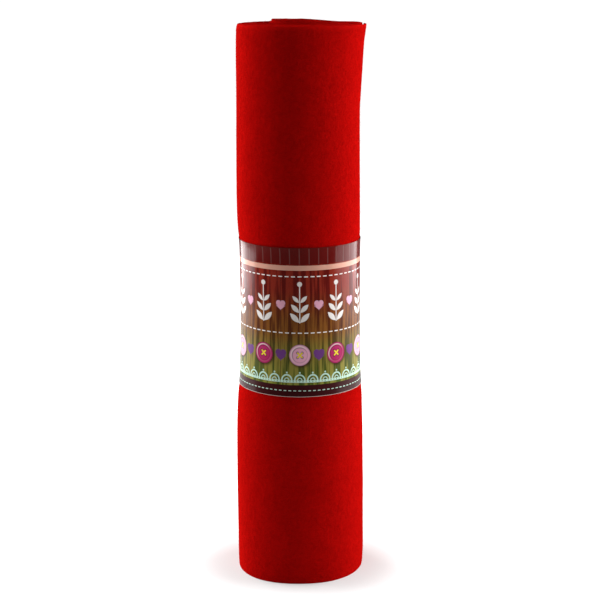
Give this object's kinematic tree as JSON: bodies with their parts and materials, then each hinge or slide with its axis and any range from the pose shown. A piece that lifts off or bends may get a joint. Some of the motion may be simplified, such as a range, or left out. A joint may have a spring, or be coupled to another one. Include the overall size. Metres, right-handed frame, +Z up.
{
  "type": "roll of felt",
  "caption": "Upright roll of red craft felt, wound with no core and held at its middle by a plain printed paper band.",
  "frame": {"origin": "on the surface the roll stands on, under the middle of its foot", "axes": "+Z up along the roll; -Y faces the picture's camera, with the felt's free edge near +X"},
  "size_m": [0.1061, 0.1045, 0.4528],
  "materials": {
    "felt": "matte, fuzzy pressed felt",
    "band": "glossy coated print"
  },
  "bodies": {
    "root": {"felt_roll": "felt", "band": "band"}
  },
  "joints": []
}
